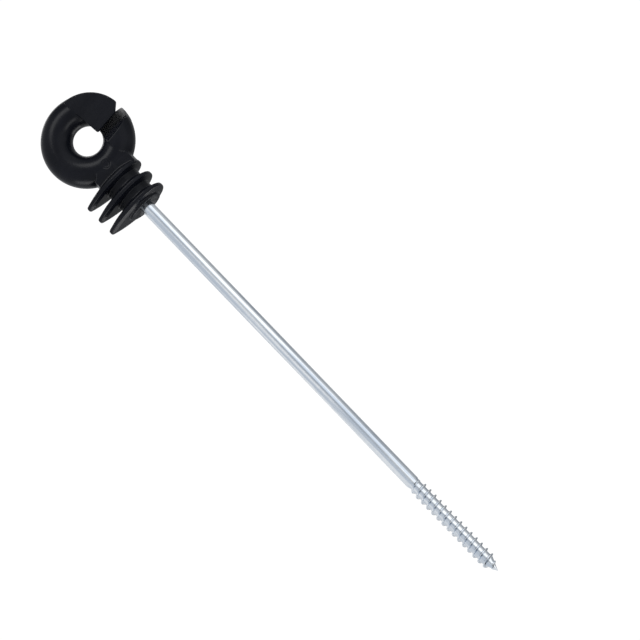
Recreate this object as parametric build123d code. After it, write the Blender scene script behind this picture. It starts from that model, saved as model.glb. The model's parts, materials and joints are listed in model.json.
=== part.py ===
from build123d import *
import math
import os

# Screw-in ring insulator for electric fence rope, with a long shank.
# Millimetres. X runs along the rod, pointing the way the screw is driven. Z is up: the slot of the ring
# opens upwards and the drip noses hang down. Y is the axis of the ring's eye.
# The origin is on the rod's axis where its thread begins, which is the surface of the post.

# Rod
THREAD_R = 3.0            # over the crests
CORE_R = 2.15             # at the thread's root
SHANK_R = 2.5             # plain part
THREAD_LENGTH = 45.0      # with the point
POINT_LENGTH = 5.0
PITCH = 2.7
CREST_WIDTH = 0.24
RIDGE_BASE = 1.25         # width of the ridge at its embedded foot
RIDGE_FOOT_R = 1.25       # the ridge is rooted this deep in the core
RIDGE_SPARE = 0.3         # the ridge is made this much too high, then trimmed
BURIED = 0.1              # the ridge's trimmed start lies this far under the core's surface
NECK_DOWN = 1.2           # cone from the plain shank to the core
THREAD_FADE = (0.6, 3.4)  # the ridge rises to its full height between these places
POINT_FADE = 1.5          # and begins to fall this far before the point
TIP_BLUNT = 0.5           # the ridge ends this far from the tip
TIP_R = 0.45
SHANK_LENGTH = 140.2      # from the thread to the end face of the head
ANCHOR_LENGTH = 20.0      # length of rod inside the head
WING_WIDTH = 6.6          # swaged wings near the rod's hidden end
WING_THICK = 3.4
WING_LENGTH = 5.0
WING_START = 2.5          # from the hidden end

# Ring
RING_R = 11.3             # centre of the section
TUBE_R = 5.8
RING_X = -172.6
RING_Z = 1.0
FACE = 5.85               # height of the flat pads over the ring's middle plane
OUTSIDE = RING_R + TUBE_R + 2    # clear of the ring
CLEAR = 1.0               # cuts reach this far past what they cut

# Slot through the ring: two lapping flaps with a slanted gap between them. Flap A is on the -Y side and
# comes from the ring's far side, flap B is on the +Y side and comes from the rod's side.
TIP_A_INNER_Y = -4.2      # inner face of flap A at its tip
TIP_B_INNER_Y = 3.8
# Height over the ring's centre, then four places towards the ring's far side: root of the channel
# beside flap A, flap A's tip, flap B's tip, root of the channel beside flap B
SLOT_SECTIONS = [(2.0, -7.05, -1.75, 2.6, 8.2), (13.9, -5.65, -0.8, 2.25, 6.9),
                 (16.4, -4.05, 1.5, 1.8, 5.9), (19.5, -2.1, 4.4, 1.2, 4.9)]
SLOT_SPREAD = 0.93        # slant of the gap: this far along the ring for each millimetre through it

# Flat pads that carry the flaps
PAD_R = 14.6              # rim of the flat pads, round a centre of its own
PAD_CENTRE = (0.55, 2.43)  # of that rim, towards the far side and the slot
WALL_MIDDLE = 5.2         # inner wall of the pads on the ring's middle plane, from the ring's centre
WALL_SLANT = 0.14         # the wall leans away from the centre towards +Y
WALL_LEAN = 0.075         # and comes closer towards the ring's far side
FLAP_B_ROOT = -5.0        # flap B's outer face begins to fall here
FLAP_B_DROP = 0.9         # and has fallen this much at its tip
PAD_ROOM = 30.0           # larger than any pad
LAP = 0.3                 # overlap of pieces that are joined into one
PAD_START = -4.2          # the flat faces take the whole section from here to the far side,
FOOT_START = -9.9         # and only its inner half from here

# Sheds
SHEDS = 3
SHED_PITCH = 5.86
FIRST_SHED = 18.55        # from the ring's centre
SHED_HALF_DEPTH = 8.5
SHED_TOP = 9.35           # reach towards the slot side
NOSE_REACH = 15.9
NOSE_TIP = 1.2            # half width of the blunt tip
RIM = 0.68                # half thickness at the rim
NOSE_ROUND = 0.25         # length of the blunt end
RING_SIDE_RISE = 1.85     # half thickness at the hub, on the side of the ring
ROD_SIDE_RISE = 1.2
RING_SIDE_KEEL = 12.8     # the faces rise towards a keel under the nose, this far from the rod's axis
ROD_SIDE_KEEL = 14.2
KEEL_ROUND = 0.05
KEEL_TIP = 0.12           # half width of the keel's end
BULGE_AT = 0.55           # the ogive of a shed bulges most at this part of its length
HUB_R = 5.85
HUB_TOP = 6.45            # its reach towards the slot
HUB_POINT = 7.4           # the hub comes to an edge under the noses
COLLAR_END = 32.4         # end face of the collar, from the ring's centre
DISH_R = 5.3              # the end face is dished round the rod
DISH_DEPTH = 0.9

# Neck
NECK_FACE = 5.6
NECK_OUTLINE = [(-7.9, 0.0), (-7.2, NECK_FACE), (8.4, NECK_FACE),
                (9.1, 0.0), (8.4, -NECK_FACE), (-7.2, -NECK_FACE)]
SHOULDER_START = (-9.0, 2.8)    # slanted shoulders beside the ring: towards the far side and sideways
SHOULDER_END = (-15.6, 9.5)
GATE_R = 1.5              # round gate mark on the -Y face of the neck
GATE_FLOOR = 5.3          # of the mark, from the ring's middle plane
GATE_AT = 12.15           # from the ring's centre


def at(far, up):
    """Place of a point in the ring's plane, from its distance towards the ring's far side and the slot."""
    return (RING_X - far, RING_Z + up)


def prism(points, y_low, y_high):
    """A straight prism along Y whose outline is a list of (towards the far side, towards the slot)."""
    outline = [at(far, up) for far, up in points]
    plane = Plane(origin=(0, y_high, 0), x_dir=(1, 0, 0), z_dir=(0, -1, 0))
    face = plane * make_face(Polyline(*outline, close=True))
    return extrude(face, amount=y_high - y_low)


def ring_cylinder(radius, centre=(0, 0)):
    """A long cylinder along Y, on the ring's axis or beside it."""
    x, z = at(*centre)
    return Pos(x, 0, z) * Rot(90, 0, 0) * Cylinder(radius, 4 * FACE)


def beyond_wall(start):
    """Everything on the slot side of a pad's slanted inner wall, which meets the middle plane at start."""
    x, z = at(0, start)
    plane = Plane(origin=(x, 0, z), x_dir=(1, 0, WALL_LEAN), z_dir=(-WALL_LEAN, -WALL_SLANT, 1))
    return plane * Pos(0, 0, PAD_ROOM / 2) * Box(2 * PAD_ROOM, 2 * PAD_ROOM, PAD_ROOM)


def slab(low, high, rim):
    """A flat-faced filling of the ring's section between two places towards the far side, within a rim."""
    block = prism([(low, 0), (high, 0), (high, OUTSIDE), (low, OUTSIDE)], -FACE, FACE)
    return block & rim


def flap_block():
    """The slot side of the ring is filled out to flat faces where the two flaps lap."""
    foot = slab(FOOT_START, PAD_START + LAP, ring_cylinder(RING_R))
    filled = foot + slab(PAD_START, OUTSIDE, ring_cylinder(PAD_R, PAD_CENTRE))
    return filled & beyond_wall(WALL_MIDDLE)


def slot_section(up, root_a, tip_a, tip_b, root_b):
    """Outline of the slot at a height over the ring's centre: a slanted gap, wider at both faces."""
    over = FACE + CLEAR
    points = [(root_a - SLOT_SPREAD, -over), (tip_a, -over), (tip_a, TIP_A_INNER_Y),
              (root_b + SLOT_SPREAD, over), (tip_b, over), (tip_b, TIP_B_INNER_Y)]
    return Polyline(*[(RING_X - far, y, RING_Z + up) for far, y in points], close=True)


def slot_cut():
    """The slot from the eye to the outside."""
    sections = [Wire(slot_section(*values).edges()) for values in SLOT_SECTIONS]
    cut = Solid.make_loft(sections[:2], ruled=True)
    for low, high in zip(sections[1:], sections[2:]):
        cut = cut + Solid.make_loft([low, high], ruled=True)
    return cut


def flap_b_slope():
    """What the sloping outer face of flap B leaves out."""
    tip = SLOT_SECTIONS[0][3] + LAP
    over = FACE + CLEAR
    outline = [(FLAP_B_ROOT, FACE), (tip, FACE - FLAP_B_DROP), (tip, over), (FLAP_B_ROOT, over)]
    base = Polyline(*[(RING_X - far, y, RING_Z + WALL_MIDDLE) for far, y in outline], close=True)
    return extrude(make_face(base), amount=OUTSIDE, dir=(0, 0, 1))


def shed_outline(level, low, high, half_depth, tip, tip_half):
    """Outline of a shed at a place along the rod: round towards the slot, an ogive towards the nose."""
    plane = Plane(origin=(level, 0, 0), x_dir=(0, 0, 1), z_dir=(1, 0, 0))
    arch = (half_depth**2 + high**2) / (2 * half_depth)
    side = high * BULGE_AT
    bulge = half_depth - (arch - math.sqrt(arch**2 - side**2))
    left, right = (0, -half_depth), (0, half_depth)
    back = ThreePointArc(left, (low, 0), right)
    fall = ThreePointArc(right, (-side, bulge), (-(high - tip), tip_half))
    blunt = ThreePointArc((-(high - tip), tip_half), (-high, 0), (-(high - tip), -tip_half))
    rise = ThreePointArc((-(high - tip), -tip_half), (-side, -bulge), left)
    return plane * Wire([back, fall, blunt, rise])


def shed(x):
    """One rain shed: thin at its rim, thicker at the hub, with a long drip nose hanging down."""
    rim = [shed_outline(edge, SHED_TOP, NOSE_REACH, SHED_HALF_DEPTH, NOSE_ROUND, NOSE_TIP)
           for edge in (x - RIM, x + RIM)]
    ring_side = shed_outline(x - RING_SIDE_RISE, HUB_TOP, RING_SIDE_KEEL, HUB_R, KEEL_ROUND, KEEL_TIP)
    rod_side = shed_outline(x + ROD_SIDE_RISE, HUB_TOP, ROD_SIDE_KEEL, HUB_R, KEEL_ROUND, KEEL_TIP)
    body = Solid.make_loft([rim[0], rim[1]], ruled=True)
    body = body + Solid.make_loft([ring_side, rim[0]], ruled=True)
    return body + Solid.make_loft([rim[1], rod_side], ruled=True)


def hub():
    """The core that carries the sheds, and the collar round the rod at its end."""
    start = RING_X + RING_R
    end = RING_X + COLLAR_END
    plane = Plane(origin=(start, 0, 0), x_dir=(0, 0, 1), z_dir=(1, 0, 0))
    arch = (HUB_R**2 + HUB_POINT**2) / (2 * HUB_R)
    half = HUB_POINT / 2
    bulge = HUB_R - (arch - math.sqrt(arch**2 - half**2))
    outline = [ThreePointArc((0, -HUB_R), (HUB_TOP, 0), (0, HUB_R)),
               ThreePointArc((0, HUB_R), (-half, bulge), (-HUB_POINT, 0)),
               ThreePointArc((-HUB_POINT, 0), (-half, -bulge), (0, -HUB_R))]
    core = extrude(plane * make_face(Wire(outline)), amount=end - start)
    floor = end - DISH_DEPTH
    over = end + CLEAR
    dish = revolve_profile([(floor, 0), (floor, SHANK_R), (end, DISH_R), (over, DISH_R), (over, 0)])
    return core - dish


def neck():
    """The flat-faced block between the ring and the first shed, with slanted shoulders at the ring."""
    plane = Plane(origin=(RING_X, 0, 0), x_dir=(0, 0, 1), z_dir=(1, 0, 0))
    outline = Polyline(*[(z, -y) for z, y in NECK_OUTLINE], close=True)
    block = extrude(plane * make_face(outline), amount=FIRST_SHED)
    start, narrow = SHOULDER_START
    end, wide = SHOULDER_END
    beyond = -FIRST_SHED - CLEAR
    plan = prism([(start, -narrow), (end, -wide), (beyond, -wide),
                  (beyond, wide), (end, wide), (start, narrow)], -OUTSIDE, OUTSIDE)
    return (block & plan) - ring_cylinder(RING_R)


def gate_mark():
    """A shallow round recess where the moulding was filled."""
    depth = FACE - GATE_FLOOR + CLEAR
    return Pos(RING_X + GATE_AT, -GATE_FLOOR - depth / 2, 0) * Rot(90, 0, 0) * Cylinder(GATE_R, depth)


def shaft(radius, start, end):
    """A round length of the rod along X."""
    return Pos((start + end) / 2, 0, 0) * Rot(0, 90, 0) * Cylinder(radius, end - start)


def anchor():
    """The rod's hidden end, with two swaged wings that key it into the head."""
    end = -SHANK_LENGTH - ANCHOR_LENGTH
    rod = shaft(SHANK_R, end, -SHANK_LENGTH + 2 * CLEAR)
    wings = Pos(end + WING_START + WING_LENGTH / 2, 0, 0) * Box(WING_LENGTH, WING_THICK, WING_WIDTH)
    return rod + wings


def revolve_profile(points):
    """A solid of revolution on the rod's axis from (x, radius) points."""
    face = make_face(Polyline(*points, close=True))
    return revolve(face, Axis.X)


def thread_turn():
    """One turn of the right-hand ridge, a little too high: its envelope trims it."""
    path = Helix(pitch=PITCH, height=PITCH, radius=CORE_R)
    top = THREAD_R + RIDGE_SPARE
    outline = [(RIDGE_FOOT_R, -RIDGE_BASE / 2), (top, -CREST_WIDTH / 2), (top, CREST_WIDTH / 2),
               (RIDGE_FOOT_R, RIDGE_BASE / 2)]
    face = Plane.XZ * make_face(Polyline(*outline, close=True))
    return Rot(0, 90, 0) * sweep(face, path=path, is_frenet=True)


def screw():
    """Threaded core with a gimlet point. The ridge fades in at its start and out at the point."""
    tip = THREAD_LENGTH
    cone = tip - POINT_LENGTH
    core = revolve_profile([(0, 0), (0, SHANK_R), (NECK_DOWN, CORE_R), (cone, CORE_R), (tip, 0)])
    start, full = THREAD_FADE
    last = tip - TIP_BLUNT
    envelope = revolve_profile([(start, 0), (start, CORE_R - BURIED), (full, THREAD_R),
                                (cone - POINT_FADE, THREAD_R), (last, TIP_R), (last, 0)])
    turn = thread_turn()
    turns = [Pos(i * PITCH, 0, 0) * turn & envelope for i in range(int(THREAD_LENGTH / PITCH))]
    return core.fuse(*turns)


def screw_shank():
    """The whole steel rod."""
    return screw() + shaft(SHANK_R, -SHANK_LENGTH, 0) + anchor()


def ring_head():
    """The insulating moulding."""
    ring = Pos(RING_X, 0, RING_Z) * Rot(90, 0, 0) * Torus(RING_R, TUBE_R)
    body = ring + flap_block()
    body = body - slot_cut() - flap_b_slope()
    body = body + neck() + hub()
    for i in range(SHEDS):
        body = body + shed(RING_X + FIRST_SHED + i * SHED_PITCH)
    return body - gate_mark() - anchor()


os.makedirs("parts", exist_ok=True)
export_step(ring_head(), "parts/ring_head.step")
export_step(screw_shank(), "parts/screw_shank.step")
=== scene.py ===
import json
import math

import bpy
import numpy as np
from mathutils import Matrix, Vector

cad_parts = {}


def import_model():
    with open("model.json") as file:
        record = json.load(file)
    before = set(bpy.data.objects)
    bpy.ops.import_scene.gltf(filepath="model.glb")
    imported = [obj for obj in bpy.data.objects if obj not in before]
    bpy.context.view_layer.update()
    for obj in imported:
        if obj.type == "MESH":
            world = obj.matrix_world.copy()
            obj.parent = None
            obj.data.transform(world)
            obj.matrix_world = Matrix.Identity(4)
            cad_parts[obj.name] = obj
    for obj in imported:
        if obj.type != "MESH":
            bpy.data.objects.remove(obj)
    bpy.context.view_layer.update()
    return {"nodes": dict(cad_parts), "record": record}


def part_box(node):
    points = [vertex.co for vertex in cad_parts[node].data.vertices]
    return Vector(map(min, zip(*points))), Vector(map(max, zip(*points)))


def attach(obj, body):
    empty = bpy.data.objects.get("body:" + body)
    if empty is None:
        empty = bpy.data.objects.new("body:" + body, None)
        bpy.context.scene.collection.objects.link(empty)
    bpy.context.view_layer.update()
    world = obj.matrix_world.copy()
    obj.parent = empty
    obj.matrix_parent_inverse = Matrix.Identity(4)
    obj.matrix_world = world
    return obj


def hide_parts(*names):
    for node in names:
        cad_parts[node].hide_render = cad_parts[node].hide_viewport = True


# Looks of the screw-in ring insulator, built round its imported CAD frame. Metres.
# X runs along the rod, pointing the way it is driven. Z is up, Y is the axis of the ring's eye.

MM = 0.001

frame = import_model()

HEAD_LOW, HEAD_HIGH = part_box("ring_head")
HEAD_MIDDLE = (HEAD_LOW + HEAD_HIGH) / 2
ROD_LOW, ROD_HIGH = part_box("screw_shank")
MOUNTS = {m["name"]: m for m in frame["record"]["mounts"]}
EYE = Vector(MOUNTS["rope_eye"]["pos_m"])
THREAD_R = MOUNTS["wood_thread"]["dims"]["r_mm"] * MM
TIP_X = ROD_HIGH.x

# Head: its skin is drawn anew on a fine grid, then smoothed
SKIN_GRID = 0.15 * MM
SMOOTHING = 0.5
SMOOTHING_PASSES = 30

# Rod
SHANK_R = 2.5 * MM
CORE_R = 2.15 * MM
PITCH = 2.7 * MM
POINT_LENGTH = 5.0 * MM
NECK_DOWN = 1.2 * MM             # cone from the plain shank to the core
WING_START = 2.5 * MM            # swaged wings inside the head, from the rod's hidden end
WING_LENGTH = 5.0 * MM
WING_HALF_THICK = 1.7 * MM       # along Y
WING_HALF_WIDTH = 3.3 * MM       # along Z

# Ridge of the thread
FOOT_HALF = 0.41 * MM            # half width where it leaves the core
CREST_HALF = 0.17 * MM
FOOT_FILLET = 0.25 * MM
FILLET_SHARE = 0.35              # how much of the profile is rounded; the rest has straight flanks
START_TURN = 0.25                # so its line crosses the thread's start on the rod's underside
RIDGE_START = 0.6 * MM           # from the thread's start
RIDGE_RISE = 2.8 * MM            # it rises to full height over this length,
RIDGE_FALL = 4.4444 * MM         # falls again over this length at the point
RIDGE_END = 0.5 * MM             # and ends this far before the tip

# Spacing of the rod's rings of vertices
ROUND = 72                       # vertices in one ring
THREAD_STEP = 0.07 * MM
SHANK_STEP = 3.0 * MM
SHANK_START = 10.0 * MM          # first ring of the plain shank, from the hidden end
SHANK_STOP = 2.0 * MM            # their even spacing stops this far before the thread,
THREAD_EDGE = 0.2 * MM           # and one more lies this far before it
WING_EDGE = 0.02 * MM            # a ring on each side of the wings' ends
TIP_FLAT = 0.01 * MM             # the last ring lies this far before the tip

# Colours, and roughness from low to high
PLASTIC_DARK = (0.0028, 0.0032, 0.0052, 1)
PLASTIC_LIGHT = (0.0048, 0.0054, 0.0082, 1)
PLASTIC_ROUGH = (0.20, 0.28)
PLASTIC_GLEAM = 0.11             # weak, so that the black stays deep
ZINC_DULL = (0.56, 0.62, 0.70, 1)
ZINC_BRIGHT = (0.90, 0.925, 0.95, 1)
ZINC_ROUGH = (0.09, 0.17)
FLOOR_DARK = (0.90, 0.90, 0.905, 1)
FLOOR_LIGHT = (0.94, 0.94, 0.94, 1)

# Floor
FLOOR_DROP = 0.30                # it lies this far under the head
FLOOR_HALF = 3.0
FLOOR_FADE = (0.8, 2.6)          # it fades into the surround between these distances from its centre

# Surround. The object reflects bands: brightness by height of the direction, from straight down (-1)
# to straight up (1). The bands are darker at both ends, which the thread's flanks reflect, and at the back.
BANDS = [(-1.0, 0.55), (-0.95, 0.62), (-0.88, 1.15), (-0.50, 1.15), (-0.30, 0.66), (0.20, 0.66),
         (0.42, 1.30), (0.82, 1.30), (0.92, 0.62), (1.0, 0.62)]
BAND_TINT = (0.95, 0.975, 1.0)
FILL = 0.95                      # strength of the bands
END_FILL = 0.34                  # and at both ends of the object
END_FADE = (0.50, 0.80)          # how far a direction points along X where the one gives way to the other
BACK_SHARE = 0.42                # share of the strength that is left behind the object
BACK_FADE = (0.05, 0.40)         # how far a direction points along Y where it is lost
SEEN_WHITE = 1.05                # what the camera sees of the surround

# Soft boxes on the head: name, place from the head's middle, width, height, watts.
# The one beyond the ring is weak on the far side, where it would glare on the slot's floor.
SOFT_BOXES = [("below", (0.19, 0.0, -0.27), 0.14, 0.30, 0.6),
              ("point side", (0.76, -0.66, 0.02), 0.34, 0.80, 3.0),
              ("ring side", (-0.66, -0.75, 0.05), 0.44, 0.80, 5.4),
              ("point side", (0.76, 0.66, 0.02), 0.34, 0.80, 3.0),
              ("ring side", (-0.66, 0.75, 0.05), 0.44, 0.80, 1.4)]
DAYLIGHT = 0.75                  # strength of the soft sun on the floor
DAYLIGHT_SPREAD = math.radians(60)

# Camera
FRAME_WIDTH = 0.22603            # width of the picture, at the object
LENS = 1200.0                    # so long that there is hardly any perspective
SENSOR = 36.0
CLIP = (0.01, 100.0)
SIDE_TILT = math.radians(15.5)   # turned this much from square on to the ring
ROLL = math.radians(46.04)       # so that the rod runs down to the right
CENTRE_SHIFT = (0.00980, 0.01249)    # picture's centre, from halfway between the eye and the point


# ---------------------------------------------------------------- meshes

def new_object(name, data):
    """An object in the scene's own collection."""
    thing = bpy.data.objects.new(name, data)
    bpy.context.scene.collection.objects.link(thing)
    return thing


def finish_piece(piece, material):
    """Material, smooth shading, body and material slot of one piece."""
    piece.data.materials.clear()
    piece.data.materials.append(material)
    piece.data.shade_smooth()
    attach(piece, "root")


def applied(piece):
    """Replaces the piece's mesh by the one that its modifiers make."""
    bpy.context.view_layer.update()
    graph = bpy.context.evaluated_depsgraph_get()
    mesh = bpy.data.meshes.new_from_object(piece.evaluated_get(graph))
    piece.modifiers.clear()
    piece.data = mesh


def smoothstep(low, high, x):
    """Rises from 0 at low to 1 at high, level at both ends."""
    t = np.clip((x - low) / (high - low), 0.0, 1.0)
    return t * t * (3 - 2 * t)


# ---------------------------------------------------------------- node trees

class Nodes:
    """A short way to write a node tree."""

    def __init__(self, tree):
        self.tree = tree
        tree.nodes.clear()

    def set(self, socket, value):
        """Links a socket to another one, or gives it a constant."""
        if isinstance(value, bpy.types.NodeSocket):
            self.tree.links.new(value, socket)
        else:
            socket.default_value = value

    def add(self, kind, inputs=None, **settings):
        """A node with its settings and inputs."""
        node = self.tree.nodes.new(kind)
        for key, value in settings.items():
            setattr(node, key, value)
        for key, value in (inputs or {}).items():
            self.set(node.inputs[key], value)
        return node

    def place(self, stretch=(1, 1, 1)):
        """Object coordinates, stretched."""
        coord = self.add("ShaderNodeTexCoord")
        mapping = self.add("ShaderNodeMapping", {"Vector": coord.outputs["Object"], "Scale": stretch})
        return mapping.outputs["Vector"]

    def noise(self, scale, detail, roughness=0.5, stretch=(1, 1, 1), distortion=0.0):
        """Cloudy noise from 0 to 1."""
        where = self.place(stretch)
        inputs = {"Vector": where, "Scale": scale, "Detail": detail, "Roughness": roughness,
                  "Distortion": distortion}
        return self.add("ShaderNodeTexNoise", inputs).outputs["Fac"]

    def remap(self, value, low, high, to_low, to_high):
        """Moves a value from one range to another, and keeps it inside."""
        inputs = {"Value": value, "From Min": low, "From Max": high, "To Min": to_low, "To Max": to_high}
        return self.add("ShaderNodeMapRange", inputs).outputs["Result"]

    def math(self, kind, *values):
        """One step of arithmetic."""
        return self.add("ShaderNodeMath", dict(enumerate(values)), operation=kind).outputs["Value"]

    def blend(self, a, share_a, b, share_b):
        """Weighted sum of two values."""
        return self.math("ADD", self.math("MULTIPLY", a, share_a), self.math("MULTIPLY", b, share_b))

    def mix(self, factor, a, b):
        """A colour between two colours."""
        node = self.add("ShaderNodeMix", data_type="RGBA")
        enabled = {socket.name: socket for socket in node.inputs if socket.enabled}
        for key, value in (("Factor", factor), ("A", a), ("B", b)):
            self.set(enabled[key], value)
        return [socket for socket in node.outputs if socket.enabled][0]

    def bump(self, height, distance, strength, over=None):
        """A bumped normal, over another one if it is given."""
        inputs = {"Height": height, "Distance": distance, "Strength": strength}
        if over is not None:
            inputs["Normal"] = over
        return self.add("ShaderNodeBump", inputs).outputs["Normal"]


def surface(name):
    """A new material, its nodes and its shader."""
    material = bpy.data.materials.new(name)
    material.use_nodes = True
    nodes = Nodes(material.node_tree)
    shader = nodes.add("ShaderNodeBsdfPrincipled")
    nodes.add("ShaderNodeOutputMaterial", {"Surface": shader.outputs["BSDF"]})
    return material, nodes, shader


# ---------------------------------------------------------------- materials

def black_plastic():
    """Bluish black, semi-gloss plastic with a faint flow mottle and fine grain."""
    material, nodes, shader = surface("moulded black plastic")
    cloud = nodes.noise(90, detail=3.0, roughness=0.55)
    flow = nodes.noise(240, detail=4.0, roughness=0.6, stretch=(1, 1, 0.35), distortion=0.4)
    grain = nodes.noise(5200, detail=2.0)
    shade = nodes.remap(nodes.blend(cloud, 0.6, flow, 0.4), 0.35, 0.65, 0.0, 1.0)
    nodes.set(shader.inputs["Base Color"], nodes.mix(shade, PLASTIC_DARK, PLASTIC_LIGHT))
    gloss = nodes.remap(flow, 0.3, 0.7, *PLASTIC_ROUGH)
    nodes.set(shader.inputs["Roughness"], nodes.math("ADD", gloss, nodes.math("MULTIPLY", grain, 0.05)))
    soft = nodes.bump(cloud, 0.3 * MM, 0.12)
    nodes.set(shader.inputs["Normal"], nodes.bump(grain, 0.004 * MM, 0.2, over=soft))
    shader.inputs["IOR"].default_value = 1.5
    shader.inputs["Specular IOR Level"].default_value = PLASTIC_GLEAM
    return material


def bright_zinc():
    """Bright zinc plate over drawn wire: bluish white, with fine lines along the rod."""
    material, nodes, shader = surface("bright zinc")
    lines = nodes.noise(2600, detail=3.0, roughness=0.6, stretch=(0.012, 1, 1))
    broad = nodes.noise(700, detail=2.0, stretch=(0.02, 1, 1))
    spots = nodes.noise(420, detail=4.0, roughness=0.6)
    tint = nodes.remap(nodes.blend(broad, 0.85, spots, 0.15), 0.40, 0.60, 0.0, 1.0)
    nodes.set(shader.inputs["Base Color"], nodes.mix(tint, ZINC_DULL, ZINC_BRIGHT))
    drawn = nodes.remap(lines, 0.3, 0.7, *ZINC_ROUGH)
    worn = nodes.math("MULTIPLY", nodes.remap(spots, 0.45, 0.75, 0.0, 1.0), 0.06)
    nodes.set(shader.inputs["Roughness"], nodes.math("ADD", drawn, worn))
    streaks = nodes.bump(lines, 0.012 * MM, 0.3)
    nodes.set(shader.inputs["Normal"], nodes.bump(spots, 0.01 * MM, 0.15, over=streaks))
    shader.inputs["Metallic"].default_value = 1.0
    return material


def pale_floor():
    """Matt white that fades out round the object."""
    material, nodes, shader = surface("pale floor")
    tone = nodes.noise(3.0, detail=3.0)
    nodes.set(shader.inputs["Base Color"], nodes.mix(tone, FLOOR_DARK, FLOOR_LIGHT))
    shader.inputs["Roughness"].default_value = 0.9
    shader.inputs["Specular IOR Level"].default_value = 0.1
    away = nodes.add("ShaderNodeVectorMath", {0: nodes.place()}, operation="LENGTH").outputs["Value"]
    nodes.set(shader.inputs["Alpha"], nodes.remap(away, *FLOOR_FADE, 1.0, 0.0))
    return material


# ---------------------------------------------------------------- head

def moulded_head(material):
    """The moulding, with its edges eased as a mould leaves them."""
    piece = new_object("ring_moulding", frame["nodes"]["ring_head"].data.copy())
    skin = piece.modifiers.new("skin", "REMESH")
    skin.mode = "VOXEL"
    skin.voxel_size = SKIN_GRID
    skin.adaptivity = 0.0
    soft = piece.modifiers.new("eased edges", "SMOOTH")
    soft.factor = SMOOTHING
    soft.iterations = SMOOTHING_PASSES
    applied(piece)
    finish_piece(piece, material)
    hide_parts("ring_head")
    return piece


# ---------------------------------------------------------------- rod

def thread_radius(x, turn):
    """Radius of the screw at a place along it and an angle round it."""
    phase = turn / (2 * math.pi) + START_TURN
    offset = np.abs((x / PITCH - phase + 0.5) % 1.0 - 0.5) * PITCH
    rounded = 1 - smoothstep(CREST_HALF, FOOT_HALF + FOOT_FILLET, offset)
    straight = np.clip((FOOT_HALF - offset) / (FOOT_HALF - CREST_HALF), 0, 1)
    profile = FILLET_SHARE * rounded + (1 - FILLET_SHARE) * straight
    core = SHANK_R + (CORE_R - SHANK_R) * np.clip(x / NECK_DOWN, 0, 1)
    core = core * np.clip((TIP_X - x) / POINT_LENGTH, 0, 1)
    fade_in = np.clip((x - RIDGE_START) / RIDGE_RISE, 0, 1)
    fade_out = np.clip((TIP_X - RIDGE_END - x) / RIDGE_FALL, 0, 1)
    return core + (THREAD_R - CORE_R) * fade_in * fade_out * profile


def anchor_radius(x, turn):
    """Radius of the plain rod, and of the swaged wings inside the head."""
    start = ROD_LOW.x + WING_START
    inside = (x > start) & (x < start + WING_LENGTH)
    tiny = 1e-6
    sides = WING_HALF_THICK / np.maximum(np.abs(np.cos(turn)), tiny)
    ends = WING_HALF_WIDTH / np.maximum(np.abs(np.sin(turn)), tiny)
    wing = np.maximum(np.minimum(sides, ends), SHANK_R)
    return np.where(inside, wing, SHANK_R)


def rod_radius(x, turn):
    """Radius of the whole rod. Its thread begins at the origin."""
    return np.where(x < 0, anchor_radius(x, turn), thread_radius(x, turn))


def rod_stations():
    """Places of the rings of vertices: close together along the thread, far apart along the shank."""
    start = ROD_LOW.x
    wing_ends = (start + WING_START, start + WING_START + WING_LENGTH)
    anchor = [start] + [end + side * WING_EDGE for end in wing_ends for side in (-1, 1)]
    shank = list(np.arange(start + SHANK_START, -SHANK_STOP, SHANK_STEP)) + [-THREAD_EDGE]
    thread = list(np.arange(0, TIP_X - 2 * TIP_FLAT, THREAD_STEP)) + [TIP_X - TIP_FLAT]
    return np.array(anchor + shank + thread)


def lathe(name, stations, radius):
    """A closed tube round the X axis whose radius depends on place and angle."""
    turns = np.linspace(0, 2 * math.pi, ROUND, endpoint=False)
    x, turn = np.meshgrid(stations, turns, indexing="ij")
    r = radius(x, turn)
    verts = np.stack([x, r * np.cos(turn), r * np.sin(turn)], axis=-1).reshape(-1, 3)
    faces = []
    for i in range(len(stations) - 1):
        here = i * ROUND
        there = here + ROUND
        for j in range(ROUND):
            k = (j + 1) % ROUND
            faces.append((here + j, here + k, there + k, there + j))
    last = (len(stations) - 1) * ROUND
    faces.append(tuple(reversed(range(ROUND))))
    faces.append(tuple(last + j for j in range(ROUND)))
    mesh = bpy.data.meshes.new(name)
    mesh.from_pydata(verts.tolist(), [], faces)
    mesh.update()
    return new_object(name, mesh)


def rod(material):
    """The whole steel rod: hidden anchor, plain shank and wood screw."""
    piece = lathe("zinc_rod", rod_stations(), rod_radius)
    finish_piece(piece, material)
    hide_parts("screw_shank")


# ---------------------------------------------------------------- stage, surround and light

def stage():
    """A large pale floor, well below the object, that fades out into the surround."""
    level = HEAD_LOW.z - FLOOR_DROP
    corners = [(-1, -1), (1, -1), (1, 1), (-1, 1)]
    mesh = bpy.data.meshes.new("floor")
    mesh.from_pydata([(x * FLOOR_HALF, y * FLOOR_HALF, level) for x, y in corners], [], [(0, 1, 2, 3)])
    mesh.materials.append(pale_floor())
    floor = new_object("floor", mesh)
    return floor


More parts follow.
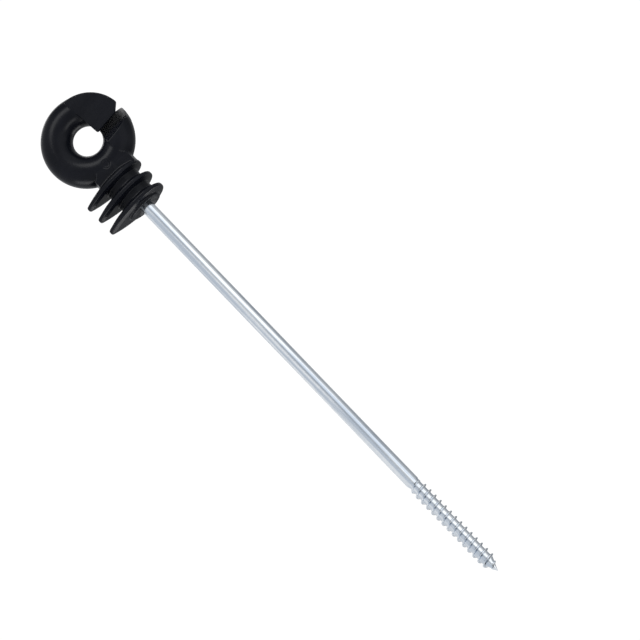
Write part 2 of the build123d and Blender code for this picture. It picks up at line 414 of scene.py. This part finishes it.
def world():
    """A white surround for the camera's eye, and a soft studio of light and dark bands for the object."""
    surround = bpy.data.worlds.new("studio")
    surround.use_nodes = True
    nodes = Nodes(surround.node_tree)
    coord = nodes.add("ShaderNodeTexCoord")
    parts = nodes.add("ShaderNodeSeparateXYZ", {"Vector": coord.outputs["Generated"]})
    height = nodes.remap(parts.outputs["Z"], -1.0, 1.0, 0.0, 1.0)
    bands = nodes.add("ShaderNodeValToRGB", {"Fac": height})
    ramp = bands.color_ramp
    while len(ramp.elements) < len(BANDS):
        ramp.elements.new(0.5)
    for element, (level, shade) in zip(ramp.elements, BANDS):
        element.position = (level + 1) / 2
        element.color = (*(shade * tint for tint in BAND_TINT), 1)
    ends = nodes.remap(nodes.math("ABSOLUTE", parts.outputs["X"]), *END_FADE, FILL, END_FILL)
    back = nodes.remap(parts.outputs["Y"], *BACK_FADE, 1.0, BACK_SHARE)
    strength = nodes.math("MULTIPLY", ends, back)
    reflected = nodes.add("ShaderNodeBackground", {"Color": bands.outputs["Color"], "Strength": strength})
    seen = nodes.add("ShaderNodeBackground", {"Color": (1, 1, 1, 1), "Strength": SEEN_WHITE})
    ray = nodes.add("ShaderNodeLightPath")
    both = nodes.add("ShaderNodeMixShader", {0: ray.outputs["Is Camera Ray"],
                                             1: reflected.outputs["Background"],
                                             2: seen.outputs["Background"]})
    nodes.add("ShaderNodeOutputWorld", {"Surface": both.outputs["Shader"]})
    bpy.context.scene.world = surround


def only_on(name, piece, lamps):
    """Lamps that light one piece alone."""
    lit = bpy.data.collections.new(name)
    lit.objects.link(piece)
    for lamp in lamps:
        lamp.light_linking.receiver_collection = lit


def softbox(name, shift, width, height, power):
    """A rectangular lamp that faces the head's middle, and that the camera doesn't see."""
    data = bpy.data.lights.new(name, "AREA")
    data.shape = "RECTANGLE"
    data.size = width
    data.size_y = height
    data.energy = power
    lamp = new_object(name, data)
    aim = (-Vector(shift)).to_track_quat("-Z", "Y")
    lamp.matrix_world = Matrix.Translation(HEAD_MIDDLE + Vector(shift)) @ aim.to_matrix().to_4x4()
    lamp.visible_camera = False
    return lamp


def lights(head_piece, floor):
    """Soft boxes on the head, and soft daylight that keeps the floor nearly as white as the surround."""
    only_on("head", head_piece, [softbox(*box) for box in SOFT_BOXES])
    data = bpy.data.lights.new("daylight", "SUN")
    data.energy = DAYLIGHT
    data.angle = DAYLIGHT_SPREAD
    only_on("floor", floor, [new_object("daylight", data)])


# ---------------------------------------------------------------- camera

def place_camera():
    """Looks square at the ring's eye, turned a little towards the screw's point, and rolled."""
    forward = Vector((-math.sin(SIDE_TILT), math.cos(SIDE_TILT), 0))
    level = Vector((math.cos(SIDE_TILT), math.sin(SIDE_TILT), 0))
    upright = Vector((0, 0, 1))
    right = level * math.cos(ROLL) + upright * math.sin(ROLL)
    up = upright * math.cos(ROLL) - level * math.sin(ROLL)
    middle = (EYE + Vector((TIP_X, 0, 0))) / 2
    aim = middle + right * CENTRE_SHIFT[0] + up * CENTRE_SHIFT[1]
    distance = FRAME_WIDTH * LENS / SENSOR
    data = bpy.data.cameras.new("camera")
    data.lens = LENS
    data.sensor_width = SENSOR
    data.clip_start, data.clip_end = CLIP
    camera = new_object("camera", data)
    turn = Matrix((right, up, -forward)).transposed().to_4x4()
    camera.matrix_world = Matrix.Translation(aim - forward * distance) @ turn
    bpy.context.scene.camera = camera


head_piece = moulded_head(black_plastic())
rod(bright_zinc())
floor = stage()
world()
lights(head_piece, floor)
place_camera()
bpy.context.scene.view_settings.view_transform = "Standard"
